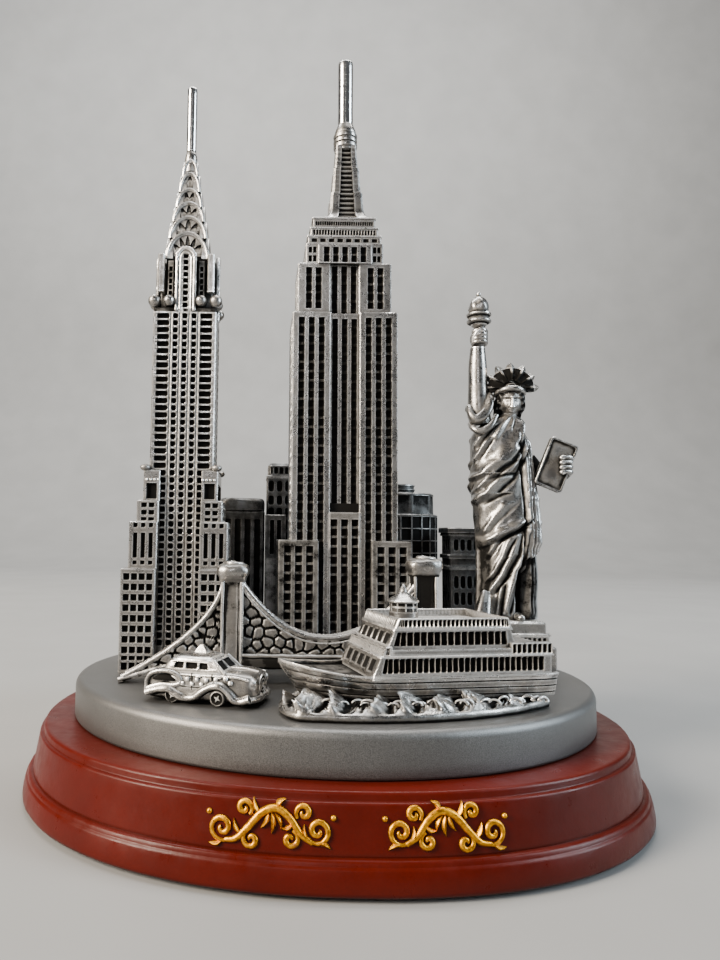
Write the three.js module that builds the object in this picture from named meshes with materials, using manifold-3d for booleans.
// Miniature city-landmark souvenir: metal castings of towers, a bridge, a ferry, a cab and a statue
// on an oval plate, which is screwed to a painted resin foot. Millimetres, +Z up, front towards -Y.
// The origin is the centre of the underside of the felt pad.
import * as THREE from 'three';
import { mergeVertices } from 'three/addons/utils/BufferGeometryUtils.js';
import Module from 'manifold-3d';

const wasm = await Module();
wasm.setup();

// ---------------------------------------------------------------- driving dimensions
const GAP = 0.3;                 // clearance between neighbouring castings
const FOOT = { length: 130, depth: 116.6, top: 14.7, squareness: 2.2 };
const FELT_THICKNESS = 0.5;
const FELT_INSET = 3;
const PLATE = { length: 112.8, depth: 103, bottom: 15, top: 22.5, shiftX: 0.4, shiftY: 1.2 };
// The castings stand on the plate, and their heights are counted from its top.
const DECO = { x: -34.2, y: 8, shaftHalf: 7.45, slotHalf: 4.8, shaftTop: 83.5 };
const STEPPED = { x: 4.3, y: 12.5, mastX: 5.1 };
const BRIDGE = { y: -14.5, thickness: 4, deckTop: 6.4, deckThickness: 1.6 };
const CAB = { x: -25.5, y: -29, length: 22, width: 11, heading: THREE.MathUtils.degToRad(-18) };
const FERRY = { bowX: -12.4, bowY: -35.6, length: 50, halfBeam: 9.4, heading: THREE.MathUtils.degToRad(11) };
const SEA_TOP = 2.5;
const STATUE = { x: 42.4, y: 9 };
const PEDESTAL_TOP = 11.5;

const FINISH = {
  felt: { color: 0x1d2a22, roughness: 1, metalness: 0 },
  resin: { color: 0x8c3220, roughness: 0.4, metalness: 0 },
  plate: { color: 0xa8a9a8, roughness: 0.5, metalness: 0.9 },
  gold: { color: 0xd7a528, roughness: 0.4, metalness: 0.6 },
  pewter: { color: 0x9b9a97, roughness: 0.35, metalness: 0.9 },
  darkPewter: { color: 0x4c4f50, roughness: 0.4, metalness: 0.9 },
  steel: { color: 0xd5d5d3, roughness: 0.15, metalness: 1 },
  screw: { color: 0x8a8a86, roughness: 0.3, metalness: 1 },
};

// ---------------------------------------------------------------- general helpers
function toSolid(geometry) {
  const bare = geometry.clone();
  bare.deleteAttribute('normal');
  bare.deleteAttribute('uv');
  const merged = mergeVertices(bare, 1e-4);
  return new wasm.Manifold(new wasm.Mesh({
    numProp: 3,
    vertProperties: new Float32Array(merged.attributes.position.array),
    triVerts: new Uint32Array(merged.index.array),
  }));
}

function toGeometry(solid) {
  const mesh = solid.getMesh();
  const geometry = new THREE.BufferGeometry();
  geometry.setAttribute('position', new THREE.BufferAttribute(new Float32Array(mesh.vertProperties), 3));
  geometry.setIndex(new THREE.BufferAttribute(new Uint32Array(mesh.triVerts), 1));
  return geometry;
}

function join(...geometries) {
  return toGeometry(geometries.map(toSolid).reduce((sum, solid) => sum.add(solid)));
}

function cut(geometry, ...tools) {
  return toGeometry(tools.map(toSolid).reduce((left, tool) => left.subtract(tool), toSolid(geometry)));
}

function box(x0, x1, y0, y1, z0, z1) {
  const geometry = new THREE.BoxGeometry(x1 - x0, y1 - y0, z1 - z0);
  return geometry.translate((x0 + x1) / 2, (y0 + y1) / 2, (z0 + z1) / 2);
}

// A box centred on x, y with half sizes hx, hy.
function block(x, y, hx, hy, z0, z1) {
  return box(x - hx, x + hx, y - hy, y + hy, z0, z1);
}

function cylinder(x, y, radius, z0, z1, segments = 16) {
  const geometry = new THREE.CylinderGeometry(radius, radius, z1 - z0, segments);
  return geometry.rotateX(Math.PI / 2).translate(x, y, (z0 + z1) / 2);
}

// A turned solid about the vertical through x, y; profile is [radius, z] pairs from axis to axis.
function turned(x, y, profile, segments = 16) {
  const points = profile.map(([radius, z]) => new THREE.Vector2(radius, z));
  return new THREE.LatheGeometry(points, segments).rotateX(Math.PI / 2).translate(x, y, 0);
}

// An upright prism over a plan outline.
function prism(outline, z0, z1) {
  const shape = new THREE.Shape(outline.map(([x, y]) => new THREE.Vector2(x, y)));
  return new THREE.ExtrudeGeometry(shape, { depth: z1 - z0, bevelEnabled: false }).translate(0, 0, z0);
}

// A panel whose outline is given in x and z, from y0 back to y1.
function panel(outline, y0, y1) {
  const shape = new THREE.Shape(outline.map(([x, z]) => new THREE.Vector2(x, z)));
  const geometry = new THREE.ExtrudeGeometry(shape, { depth: y1 - y0, bevelEnabled: false });
  return geometry.rotateX(Math.PI / 2).translate(0, y1, 0);
}

// A closed solid through rings of equal point count, bottom ring first, each ring anticlockwise.
function loft(rings) {
  const count = rings[0].length;
  const positions = rings.flat(2);
  const index = [];
  for (let level = 0; level < rings.length - 1; level++) {
    for (let i = 0; i < count; i++) {
      const a = level * count + i;
      const b = level * count + (i + 1) % count;
      index.push(a, b, b + count, a, b + count, a + count);
    }
  }
  [0, rings.length - 1].forEach((level, end) => {
    const centre = new THREE.Vector3();
    rings[level].forEach((point) => centre.add(new THREE.Vector3(...point)));
    centre.divideScalar(count);
    const hub = positions.length / 3;
    positions.push(centre.x, centre.y, centre.z);
    for (let i = 0; i < count; i++) {
      const a = level * count + i;
      const b = level * count + (i + 1) % count;
      index.push(hub, ...(end === 0 ? [b, a] : [a, b]));
    }
  });
  const geometry = new THREE.BufferGeometry();
  geometry.setAttribute('position', new THREE.Float32BufferAttribute(positions, 3));
  geometry.setIndex(index);
  return geometry;
}

// One point of a rounded oval: squareness 2 is an ellipse, more is fuller at the corners.
function ovalPoint(halfX, halfY, squareness, angle) {
  const power = 2 / squareness;
  const x = halfX * Math.sign(Math.cos(angle)) * Math.abs(Math.cos(angle)) ** power;
  const y = halfY * Math.sign(Math.sin(angle)) * Math.abs(Math.sin(angle)) ** power;
  return [x, y];
}

function ovalRing(x, y, z, halfX, halfY, squareness = 2, segments = 64) {
  return Array.from({ length: segments }, (_, i) => {
    const [px, py] = ovalPoint(halfX, halfY, squareness, (i / segments) * 2 * Math.PI);
    return [x + px, y + py, z];
  });
}

const model = new THREE.Group();
const castings = new THREE.Group();
castings.position.z = PLATE.top;
model.add(castings);

function add(name, geometry, finish, parent = castings) {
  const mesh = new THREE.Mesh(geometry, new THREE.MeshStandardMaterial(FINISH[finish]));
  mesh.name = name;
  parent.add(mesh);
  return mesh;
}

// ---------------------------------------------------------------- foot, plate and their screws
const PLATE_SCREWS = [['left', -40, 0], ['right', 40, 0], ['rear', 0, 40]];
const TOWER_SCREWS = [['deco_tower', DECO.x, DECO.y], ['stepped_tower', STEPPED.x, STEPPED.y]];
const SCREW = { shank: 1.2, head: 2.8, headHeight: 2, counterbore: 3.4, clearance: 1.5 };
const COUNTERBORE_DEPTH = 8;
const PLATE_SCREW_TIP = 20;      // blind in the plate
const TOWER_SCREW_TIP = 31;      // inside the tower foot

function footWall(z) {
  // Inset of the sloping wall from the widest point of the bead, as a function of height.
  return 1.9 + (z - 6.2) * (1.1 / 6.9);
}

function foot() {
  const profile = [
    [0.8, FELT_THICKNESS], [0, 1.3], [0.15, 3.2], [0.6, 4.8], [1.0, 5.6], [1.8, 5.8],
    [footWall(6.2), 6.2], [footWall(13.1), 13.1], [3.5, 13.3], [3.7, FOOT.top],
  ];
  const rings = profile.map(([inset, z]) => ovalRing(
    0, 0, z, FOOT.length / 2 - inset, FOOT.depth / 2 - inset, FOOT.squareness));
  const holes = PLATE_SCREWS.flatMap(([, x, y]) => [
    cylinder(x, y, SCREW.counterbore, -1, COUNTERBORE_DEPTH),
    cylinder(x, y, SCREW.clearance, COUNTERBORE_DEPTH - 1, FOOT.top + 1),
  ]);
  return cut(loft(rings), ...holes);
}

function topPlate() {
  const rim = [[0.5, PLATE.bottom], [0, PLATE.bottom + 0.5], [0, 21.1], [0.35, 21.9], [1.1, PLATE.top]];
  const rings = rim.map(([inset, z]) => ovalRing(
    PLATE.shiftX, PLATE.shiftY, z, PLATE.length / 2 - inset, PLATE.depth / 2 - inset));
  const holes = PLATE_SCREWS.map(([, x, y]) =>
    cylinder(x, y, SCREW.clearance, PLATE.bottom - 1, PLATE_SCREW_TIP + GAP));
  const towerHoles = TOWER_SCREWS.flatMap(([, x, y]) => [
    cylinder(x, y, SCREW.counterbore, PLATE.bottom - 1, 18.5),
    cylinder(x, y, SCREW.clearance, 18, PLATE.top + 1),
  ]);
  return cut(loft(rings), ...holes, ...towerHoles);
}

function screw(x, y, headBottom, tip) {
  const neck = headBottom + SCREW.headHeight;
  return turned(x, y, [
    [0, headBottom], [SCREW.head, headBottom], [SCREW.head, neck], [SCREW.shank, neck],
    [SCREW.shank, tip - 1], [0, tip],
  ], 12);
}

const feltRing = (z) => ovalRing(
  0, 0, z, FOOT.length / 2 - FELT_INSET, FOOT.depth / 2 - FELT_INSET, FOOT.squareness);
add('felt_pad', loft([feltRing(0), feltRing(FELT_THICKNESS)]), 'felt', model);
add('resin_foot', foot(), 'resin', model);
add('top_plate', topPlate(), 'plate', model);
for (const [side, x, y] of PLATE_SCREWS) {
  const headBottom = COUNTERBORE_DEPTH - SCREW.headHeight - 0.05;
  add(`plate_screw_${side}`, screw(x, y, headBottom, PLATE_SCREW_TIP), 'screw', model);
}
for (const [tower, x, y] of TOWER_SCREWS) {
  add(`${tower}_screw`, screw(x, y, 16.45, TOWER_SCREW_TIP), 'screw', model);
}

// ---------------------------------------------------------------- gold ornaments on the front wall
// A scroll is a flat band swept along a curve that lies just off the wall.
function wallPoint(x, z, offset) {
  const inset = footWall(z);
  const halfX = FOOT.length / 2 - inset;
  const halfY = FOOT.depth / 2 - inset;
  const y = -halfY * (1 - Math.abs(x / halfX) ** FOOT.squareness) ** (1 / FOOT.squareness);
  return new THREE.Vector3(x, y - offset, z);
}

function scroll(centreX, direction) {
  const outline = [
    [-8.4, -0.6], [-9.6, 0.2], [-9.4, -1.9], [-7.2, -2.9], [-4.6, -1.4], [-2.4, 1.3],
    [0.4, 2.9], [3.0, 1.4], [4.4, -1.2], [7.0, -2.4], [9.4, -0.8], [9.2, 1.4], [7.6, 1.2],
  ];
  const middle = 9.6;
  const path = new THREE.CatmullRomCurve3(outline.map(([along, up]) =>
    wallPoint(centreX + direction * along, middle + up, 0.65)));
  const section = new THREE.Shape();
  section.absellipse(0, 0, 0.45, 0.45, 0, 2 * Math.PI);
  return new THREE.ExtrudeGeometry(section, {
    steps: 40, extrudePath: path, curveSegments: 4, bevelEnabled: false });
}

add('front_scroll_left', scroll(-13.8, 1), 'gold', model);
add('front_scroll_right', scroll(12.5, -1), 'gold', model);

// ---------------------------------------------------------------- slim art-deco tower
// [outer half width, bottom, top] of the wing blocks that flank the shaft.
const DECO_WINGS = [[12.6, 0, 22.9], [11.2, 22.9, 33.5], [9.8, 33.5, 38.4], [8.6, 38.4, 45.5]];

function screwHole(x, y) {
  return cylinder(x, y, SCREW.clearance, -1, TOWER_SCREW_TIP + GAP - PLATE.top, 12);
}

function decoWing(side) {
  const { x, y, slotHalf } = DECO;
  const inner = DECO.shaftHalf + GAP;
  const levels = DECO_WINGS.map(([outer, bottom, top], i) => {
    const outline = [
      [outer, -outer], [outer, outer], [slotHalf, outer], [slotHalf, inner], [inner, inner],
      [inner, -inner], [slotHalf, -inner], [slotHalf, -outer],
    ].map(([px, py]) => [x + side * px, y + py]);
    return prism(side > 0 ? outline : outline.reverse(), i === 0 ? bottom : bottom - 0.5, top);
  });
  return join(...levels);
}

function decoShaft() {
  const { x, y, shaftHalf } = DECO;
  return cut(block(x, y, shaftHalf, shaftHalf, 0, DECO.shaftTop), screwHole(x, y));
}

const SHOULDER = { bottom: DECO.shaftTop, ledge: 87.9, top: 101, half: 6.6, knobRadius: 2.2 };

function decoShoulder() {
  const { x, y } = DECO;
  const pieces = [
    block(x, y, DECO.shaftHalf, DECO.shaftHalf, SHOULDER.bottom, SHOULDER.ledge),
    block(x, y, SHOULDER.half, SHOULDER.half, SHOULDER.bottom + 1, SHOULDER.top),
  ];
  for (const sx of [-1, 1]) {
    for (const sy of [-1, 1]) {
      const knob = new THREE.SphereGeometry(SHOULDER.knobRadius, 8, 6);
      pieces.push(knob.translate(x + sx * 6.6, y + sy * 6.6, SHOULDER.ledge - 1.6));
    }
  }
  return join(...pieces);
}

// The crown is a stack of groined vaults: one arch across x and the same arch across y.
const CROWN_TIERS = [
  { half: 5.75, bottom: 101, top: 108.9 },
  { half: 4.95, bottom: 104.5, top: 114.1 },
  { half: 4.15, bottom: 109.5, top: 118.7 },
  { half: 3.35, bottom: 114.5, top: 122.3 },
  { half: 2.6, bottom: 118.5, top: 124.9 },
  { half: 1.9, bottom: 121.5, top: 126.5 },
];

function archOutline(half, bottom, top) {
  const spring = bottom + (top - bottom) * 0.25;
  const points = [[-half, bottom], [half, bottom]];
  const steps = 8;
  for (let i = 0; i <= steps; i++) {
    const angle = (i / steps) * Math.PI;
    points.push([half * Math.cos(angle), spring + (top - spring) * Math.sin(angle)]);
  }
  return points;
}

function vault({ half, bottom, top }) {
  const across = panel(archOutline(half, bottom, top), -half, half);
  const along = across.clone().rotateZ(Math.PI / 2);
  return toGeometry(toSolid(across).intersect(toSolid(along))).translate(DECO.x, DECO.y, 0);
}

add('deco_tower_left_wing', decoWing(-1), 'pewter');
add('deco_tower_right_wing', decoWing(1), 'pewter');
add('deco_tower_shaft', decoShaft(), 'pewter');
add('deco_tower_shoulder', decoShoulder(), 'pewter');
add('deco_tower_crown', join(...CROWN_TIERS.map(vault)), 'pewter');
add('deco_tower_rod', cylinder(DECO.x, DECO.y, 1.25, 126.55, 143.3), 'steel');

// ---------------------------------------------------------------- stepped tower
const STEPPED_HALF = { wingX: 15.6, wingY: 10.5, mainX: 12.7, mainY: 8.5, upperX: 11.45, upperY: 6.9 };
const STEPPED_LEVEL = {
  wing: 29.7, main: 85, upper: 97.7, collar: 103.5, ledge: 110, mast: 136.8, rod: 153.8 };
const CENTRE_BAY_HALF = 3.5;

// Two side blocks and a recessed centre bay, as a plan outline extruded upward.
function recessedBlock(halfX, halfY, recess, z0, z1) {
  const bay = CENTRE_BAY_HALF;
  const quarter = [[halfX, halfY], [bay, halfY], [bay, halfY - recess]];
  const outline = [
    ...quarter,
    ...quarter.map(([px, py]) => [-px, py]).reverse(),
    ...quarter.map(([px, py]) => [-px, -py]),
    ...quarter.map(([px, py]) => [px, -py]).reverse(),
  ];
  return prism(outline.map(([px, py]) => [STEPPED.x + px, STEPPED.y + py]), z0, z1);
}

function steppedPodium() {
  const { x, y } = STEPPED;
  const podium = block(x, y, STEPPED_HALF.wingX, STEPPED_HALF.wingY, 0, STEPPED_LEVEL.wing);
  const slots = [-1, 1].map((side) =>
    block(x, y + side * STEPPED_HALF.wingY, 6.2, 1.4, -1, STEPPED_LEVEL.wing + 1));
  return cut(podium, ...slots, screwHole(x, y));
}

const steppedLedges = [
  // [half x, half y, bottom, top]
  [9.5, 6.6, STEPPED_LEVEL.upper, STEPPED_LEVEL.collar],
  [9.15, 6.3, 103.3, 105.3],
  [8.8, 5.9, 105.1, 107.6],
  [7.6, 5.2, 107.4, STEPPED_LEVEL.ledge],
];

function steppedMast() {
  const { mastX, y } = STEPPED;
  const core = turned(mastX, y, [
    [0, STEPPED_LEVEL.ledge], [4.0, STEPPED_LEVEL.ledge], [3.4, 116], [2.7, 130.2], [3.0, 130.5],
    [3.0, 134.8], [2.0, STEPPED_LEVEL.mast], [0, STEPPED_LEVEL.mast],
  ], 16);
  const foot = STEPPED_LEVEL.ledge;
  const fin = [[-5.1, foot], [5.1, foot], [4.3, 115], [2.9, 130], [-2.9, 130], [-4.3, 115]];
  const across = panel(fin, -0.6, 0.6).translate(mastX, y, 0);
  const along = panel(fin, -0.6, 0.6).rotateZ(Math.PI / 2).translate(mastX, y, 0);
  return join(core, across, along);
}

add('stepped_tower_podium', steppedPodium(), 'pewter');
add('stepped_tower_shaft', recessedBlock(
  STEPPED_HALF.mainX, STEPPED_HALF.mainY, 1.2, STEPPED_LEVEL.wing, STEPPED_LEVEL.main), 'pewter');
add('stepped_tower_upper_block', recessedBlock(
  STEPPED_HALF.upperX, STEPPED_HALF.upperY, 1, STEPPED_LEVEL.main, STEPPED_LEVEL.upper), 'pewter');
add('stepped_tower_ledges', join(...steppedLedges.map(([hx, hy, z0, z1]) =>
  block(STEPPED.x, STEPPED.y, hx, hy, z0, z1))), 'pewter');
add('stepped_tower_mast', steppedMast(), 'pewter');
add('stepped_tower_rod', cylinder(
  STEPPED.mastX, STEPPED.y, 1.95, STEPPED_LEVEL.mast, STEPPED_LEVEL.rod), 'steel');

// ---------------------------------------------------------------- suspension bridge
const PYLONS = [
  { name: 'left', x: -21.3, shaftHalf: 2.1, capHalf: 3.4, shaftTop: 21.5, capTop: 25.3 },
  { name: 'right', x: 18.7, shaftHalf: 2.3, capHalf: 3.75, shaftTop: 22.7, capTop: 26.9 },
];
const SPAN = { left: PYLONS[0].x, right: PYLONS[1].x, shoulder: 20.7, sag: 9.6, lowX: -2.2 };
const APPROACH_TIP = -44.5;

function pylon({ x, shaftHalf, capHalf, shaftTop, capTop }) {
  const shaft = block(x, BRIDGE.y, shaftHalf, 2.6, 0, shaftTop + 0.5);
  const cap = turned(0, 0, [
    [0, shaftTop], [0.8, shaftTop], [1, shaftTop + 1], [1, capTop - 1], [0.75, capTop], [0, capTop],
  ], 12).scale(capHalf, 3.2, 1).translate(x, BRIDGE.y, 0);
  return join(shaft, cap);
}

// Height of the main cable at x: a parabola each side of its lowest point.
function cableHeight(x) {
  const end = x < SPAN.lowX ? SPAN.left + PYLONS[0].shaftHalf : SPAN.right - PYLONS[1].shaftHalf;
  const share = (x - SPAN.lowX) / (end - SPAN.lowX);
  return SPAN.sag + (SPAN.shoulder - SPAN.sag) * share ** 2.1;
}

function span(x0, x1, height, steps) {
  const outline = [[x0, BRIDGE.deckTop], [x1, BRIDGE.deckTop]];
  for (let i = steps; i >= 0; i--) {
    const x = x0 + (x1 - x0) * (i / steps);
    outline.push([x, height(x)]);
  }
  return panel(outline, BRIDGE.y - BRIDGE.thickness / 2, BRIDGE.y + BRIDGE.thickness / 2);
}

function mainSpan() {
  const left = SPAN.left + PYLONS[0].shaftHalf + 0.1;
  const right = SPAN.right - PYLONS[1].shaftHalf - 0.1;
  return span(left, right, cableHeight, 16);
}

// The approach sweeps from the pylon shoulder down to a point on the plate.
function approachSpan() {
  const right = SPAN.left - PYLONS[0].shaftHalf - 0.1;
  const cable = new THREE.QuadraticBezierCurve(
    new THREE.Vector2(right, SPAN.shoulder), new THREE.Vector2(-25.5, 10.7),
    new THREE.Vector2(APPROACH_TIP, 0.3));
  const underside = new THREE.QuadraticBezierCurve(
    new THREE.Vector2(APPROACH_TIP, 0), new THREE.Vector2(-33, 4.6), new THREE.Vector2(right, 4.8));
  const outline = [...cable.getPoints(10), ...underside.getPoints(6)].map(({ x, y }) => [x, y]);
  return panel(outline.reverse(), BRIDGE.y - BRIDGE.thickness / 2, BRIDGE.y + BRIDGE.thickness / 2);
}

for (const spec of PYLONS) {
  add(`bridge_${spec.name}_pylon`, pylon(spec), 'pewter');
}
add('bridge_approach_span', approachSpan(), 'pewter');
add('bridge_main_span', mainSpan(), 'pewter');
add('bridge_deck', box(
  SPAN.left + PYLONS[0].shaftHalf + 0.1, SPAN.right - PYLONS[1].shaftHalf - 0.1,
  BRIDGE.y - 2.6, BRIDGE.y + 2.6, BRIDGE.deckTop - BRIDGE.deckThickness, BRIDGE.deckTop - 0.02), 'pewter');

// ---------------------------------------------------------------- cab
// Modelled along +x with its centre at the origin, then turned to its heading.
const cab = new THREE.Group();
cab.position.set(CAB.x, CAB.y, 0);
cab.rotation.z = CAB.heading;
castings.add(cab);
const CAB_WHEEL = { radius: 1.4, width: 1.3, front: 4.2, rear: -4.6 };

function cabBody() {
  const half = CAB.length / 2;
  const side = [
    [-half, 0.9], [half, 0.9], [half, 3.2], [half - 1.2, 5.2], [3.6, 5.6], [-4, 5.2],
    [-half + 1.6, 4.4], [-half, 2.6],
  ];
  const body = panel(side, -CAB.width / 2, CAB.width / 2);
  const arches = [CAB_WHEEL.front, CAB_WHEEL.rear].flatMap((x) => [-1, 1].map((s) => {
    const arch = new THREE.CylinderGeometry(CAB_WHEEL.radius + GAP, CAB_WHEEL.radius + GAP, 3.2, 16);
    return arch.translate(x, s * CAB.width / 2, CAB_WHEEL.radius + 0.05);
  }));
  return cut(body, ...arches);
}

function cabCabin() {
  const levels = [[-7.2, 3.8, 4.5, 5.85], [-6.6, 2.4, 4.2, 7.4], [-5.6, 1.2, 3.7, 8.4], [-4.4, 0, 2.6, 8.8]];
  return loft(levels.map(([rear, front, halfY, z]) => [
    [rear, -halfY, z], [front, -halfY, z], [front, halfY, z], [rear, halfY, z]]));
}

add('cab_body', cabBody(), 'pewter', cab);
add('cab_cabin', cabCabin(), 'pewter', cab);
for (const [end, x] of [['front', CAB_WHEEL.front], ['rear', CAB_WHEEL.rear]]) {
  for (const [side, s] of [['near', -1], ['far', 1]]) {
    const wheel = new THREE.CylinderGeometry(CAB_WHEEL.radius, CAB_WHEEL.radius, CAB_WHEEL.width, 16);
    add(`cab_${end}_${side}_wheel`, wheel.translate(
      x, s * (CAB.width / 2 - CAB_WHEEL.width / 2 - 0.1), CAB_WHEEL.radius + 0.05), 'pewter', cab);
  }
}

// ---------------------------------------------------------------- ferry
// Modelled with the bow at the origin and the stern along +x, then turned to its heading.
const ferry = new THREE.Group();
ferry.position.set(FERRY.bowX, FERRY.bowY, 0);
ferry.rotation.z = FERRY.heading;
castings.add(ferry);
const SHIP = { sternZ: 6.8, bowZ: 8.8, keel: SEA_TOP + GAP, mid: 11.5, roof: 16.6 };

// Half the beam at a distance from the bow; fullness is lower near the keel.
function halfBeam(along, fullness) {
  const run = Math.min(along / 20, 1);
  return Math.max(FERRY.halfBeam * fullness * Math.sin(run * Math.PI / 2) ** 0.75, 0.05);
}

function sheer(along) {
  return SHIP.sternZ + (SHIP.bowZ - SHIP.sternZ) * Math.max(0, 1 - along / 14) ** 1.6;
}

// Cross-sections from bow to stern; the stem rakes forward from the waterline to the deck.
function hull() {
  const stations = [0, 1, 3, 6, 10, 14, 20, 30, 40, 46, 49, FERRY.length];
  return loft(stations.map((along) => {
    const aft = FERRY.length - along;
    const taper = aft < 4 ? 0.9 + 0.1 * Math.sqrt(aft / 4) : 1;
    const levels = [
      [SHIP.keel, 0.86, 4], [4.5, 0.93, 2.2], [sheer(along) - 0.6, 1, 0.4], [sheer(along), 1.01, 0]];
    const side = levels.map(([z, fullness, rake]) => [
      rake + along * (FERRY.length - rake) / FERRY.length, halfBeam(along, fullness) * taper, z]);
    return [...side, ...side.map(([x, y, z]) => [x, -y, z]).reverse()];
  }));
}

function house(front, rear, halfWidth, z0, z1, rake) {
  const plan = (f, z) => [[f, -halfWidth, z], [rear, -halfWidth, z], [rear, halfWidth, z], [f, halfWidth, z]];
  return loft([plan(front, z0), plan(front + rake, z1)]);
}

const PILOT = { x: 24, y: 0.3, base: SHIP.roof + 0.02, radius: 2.6 };

add('ferry_hull', hull(), 'pewter', ferry);
add('ferry_lower_deckhouse', house(15.2, 48.4, 9.1, SHIP.sternZ + 0.05, SHIP.mid, 0.7), 'pewter', ferry);
add('ferry_upper_deckhouse', house(18.6, 42.6, 8.2, SHIP.mid + 0.02, SHIP.roof, 0.7), 'pewter', ferry);
add('ferry_pilot_house', turned(PILOT.x, PILOT.y, [
  [0, PILOT.base], [PILOT.radius, PILOT.base], [PILOT.radius, 18.7], [2.9, 18.9], [0.6, 20.9], [0, 21.9],
]), 'pewter', ferry);
const rampOutline = [[FERRY.length + 0.6, 3.1], [FERRY.length + 3, 3.1], [FERRY.length + 0.6, 5.3]];
add('ferry_stern_ramp', panel(rampOutline, -2.4, 2.4), 'pewter', ferry);

// The sea follows the rim of the plate in front and the ship's far side behind.
function seaOutline() {
  const inset = 4.4;
  const front = [];
  const steps = 20;
  for (let i = 0; i <= steps; i++) {
    const angle = (-104 + (60 * i) / steps) * Math.PI / 180;
    front.push([
      PLATE.shiftX + (PLATE.length / 2 - inset) * Math.cos(angle),
      PLATE.shiftY + (PLATE.depth / 2 - inset) * Math.sin(angle)]);
  }
  return [...front, [39.5, -19.6], [36, -17.8], [-4, -25.6], [-11.2, -29.2], [-12.6, -34.5]];
}
add('ferry_sea', prism(seaOutline(), 0, SEA_TOP), 'pewter');

// ---------------------------------------------------------------- statue
function pedestal() {
  const { x, y } = STATUE;
  return join(
    block(x, y, 9.8, 9.8, 0, 6.2),
    block(x, y, 8.6, 8.6, 6, 9.1),
    block(x, y, 8.1, 8.1, 8.9, PEDESTAL_TOP));
}

// Ring centres and half widths of the robe from hem to shoulders: [x, y, half x, half y, z].
const ROBE = [
  [43.3, 8.4, 6.8, 6.2, PEDESTAL_TOP], [43.9, 8.2, 7.3, 5.9, 21.5], [44, 8, 8.4, 5.8, 32.5],
  [43.3, 8, 8.3, 5.7, 43.5], [42.7, 8, 7.5, 5.4, 51.5], [42.3, 8, 7.2, 5, 57], [43.5, 8, 4.6, 3.8, 60.1],
  [45.2, 8, 2.1, 2.1, 61.5],
];

function robe() {
  const body = loft(ROBE.map(([x, y, hx, hy, z]) => ovalRing(x, y, z, hx, hy, 2.3, 20)));
  return cut(body, block(37.4, 8, 2.9, 3.2, 59.1, 65.5), block(52.6, 7.6, 3.4, 3, 42.5, 52.5));
}

function armAlong(points, radii, segments = 10) {
  const curve = new THREE.CatmullRomCurve3(points.map((p) => new THREE.Vector3(...p)));
  const frames = curve.computeFrenetFrames(radii.length - 1, false);
  const rings = radii.map((radius, i) => {
    const centre = curve.getPointAt(i / (radii.length - 1));
    return Array.from({ length: segments }, (_, k) => {
      const angle = (k / segments) * 2 * Math.PI;
      const out = frames.normals[i].clone().multiplyScalar(Math.cos(angle) * radius)
        .addScaledVector(frames.binormals[i], Math.sin(angle) * radius);
      return centre.clone().add(out).toArray();
    });
  });
  return loft(rings);
}

const HEAD = { x: 45.1, y: 7.2, z: 65.2 };

function diadem() {
  const band = turned(HEAD.x, HEAD.y + 0.6, [
    [3.75, 66.9], [4.3, 66.9], [4.3, 69.5], [3.75, 69.5], [3.75, 66.9]], 20);
  const rays = Array.from({ length: 7 }, (_, i) => {
    const angle = (i - 3) * 24 * Math.PI / 180;
    const ray = new THREE.ConeGeometry(0.75, 5.4, 5).translate(0, 2.2, 0).rotateX(Math.PI / 2);
    ray.rotateY(Math.PI / 5).translate(3.4, 0, 68.5);
    return ray.rotateZ(-Math.PI / 2 + angle).translate(HEAD.x, HEAD.y + 0.6, 0);
  });
  return join(band, ...rays);
}

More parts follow.
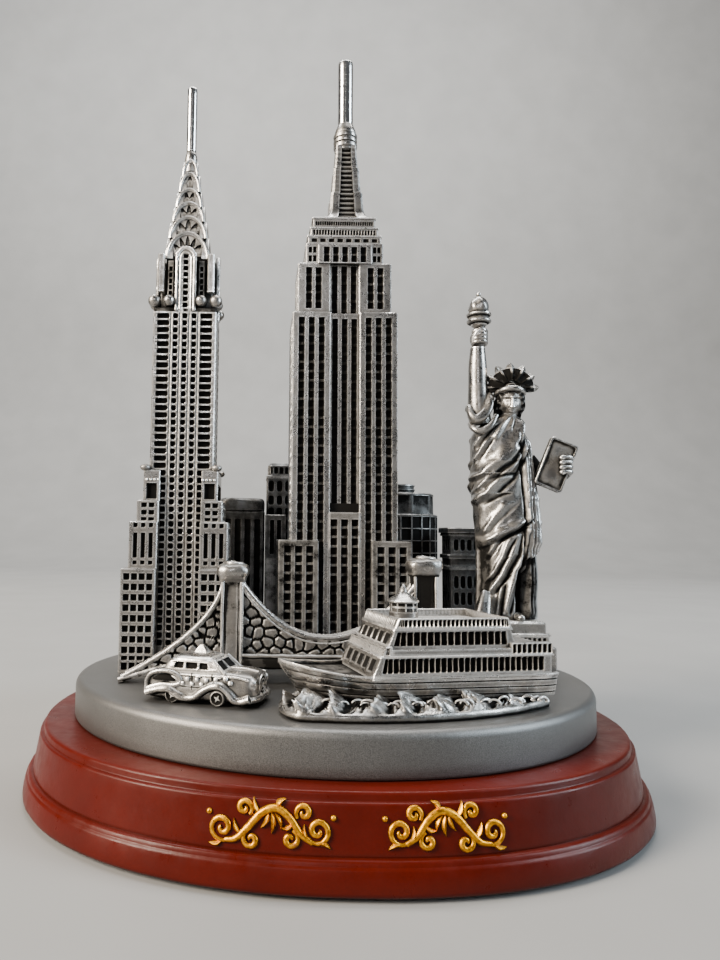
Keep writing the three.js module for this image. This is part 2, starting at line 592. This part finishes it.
add('statue_pedestal', pedestal(), 'pewter');
add('statue_robe', robe(), 'pewter');
const headBall = new THREE.SphereGeometry(3.3, 14, 12).scale(1, 1.1, 1.02);
add('statue_head', headBall.translate(HEAD.x, HEAD.y, HEAD.z), 'pewter');
add('statue_diadem', diadem(), 'pewter');
add('statue_raised_arm', armAlong(
  [[37.4, 8, 59.5], [37.3, 8, 67.5], [37.5, 7.8, 74.5], [37.6, 7.6, 78.9]],
  [2.2, 2.1, 1.9, 1.7, 1.6, 1.9, 1.6]), 'pewter');
add('statue_torch', turned(37.7, 7.6, [
  [0, 79.2], [0.9, 79.2], [1.1, 82.9], [2.85, 84.3], [2.85, 86.8], [2.1, 87], [2.1, 88.9],
  [0.9, 90.9], [0, 92.1]]), 'pewter');
add('statue_forearm', armAlong(
  [[50.6, 7.6, 47], [54.5, 7.8, 46.4], [57.6, 7.5, 47.9]], [2.2, 2.2, 1.9, 1.6, 1.6]), 'pewter');
const tablet = new THREE.BoxGeometry(5.8, 1.4, 12).rotateY(0.38).translate(55.0, 4.1, 48.4);
add('statue_tablet', tablet, 'pewter');

// ---------------------------------------------------------------- skyline behind the towers
function roundRoofBlock() {
  const wall = box(-26, -14.6, 25.5, 38, 0, 37.3);
  const roof = box(-26.6, -14.2, 24.9, 38.6, 37.1, 40.7);
  return join(wall, roof);
}

function drumBlock() {
  const centre = { x: 23.6, y: 37 };
  return turned(centre.x, centre.y, [
    [0, 0], [10.8, 0], [10.8, 37.1], [9.8, 37.1], [9.8, 42.9], [4.6, 42.9], [4.6, 45.5], [0, 45.5]], 24);
}

function corniceBlock() {
  return join(
    box(34.2, 47, 19.4, 27.4, 0, 31.5), box(33.3, 47.6, 19.1, 28, 31.3, 33.5));
}

add('skyline_round_roof_block', roundRoofBlock(), 'darkPewter');
add('skyline_arched_window_block', box(-14, 0, 27.5, 38, 0, 50.5), 'darkPewter');
add('skyline_setback_block', join(
  box(-13.8, -3, 23.6, 27, 0, 24.5), box(-13.8, -8.6, 23.6, 27, 24, 36.3)), 'darkPewter');
add('skyline_round_stepped_block', drumBlock(), 'darkPewter');
add('skyline_corniced_block', corniceBlock(), 'darkPewter');

export default model;
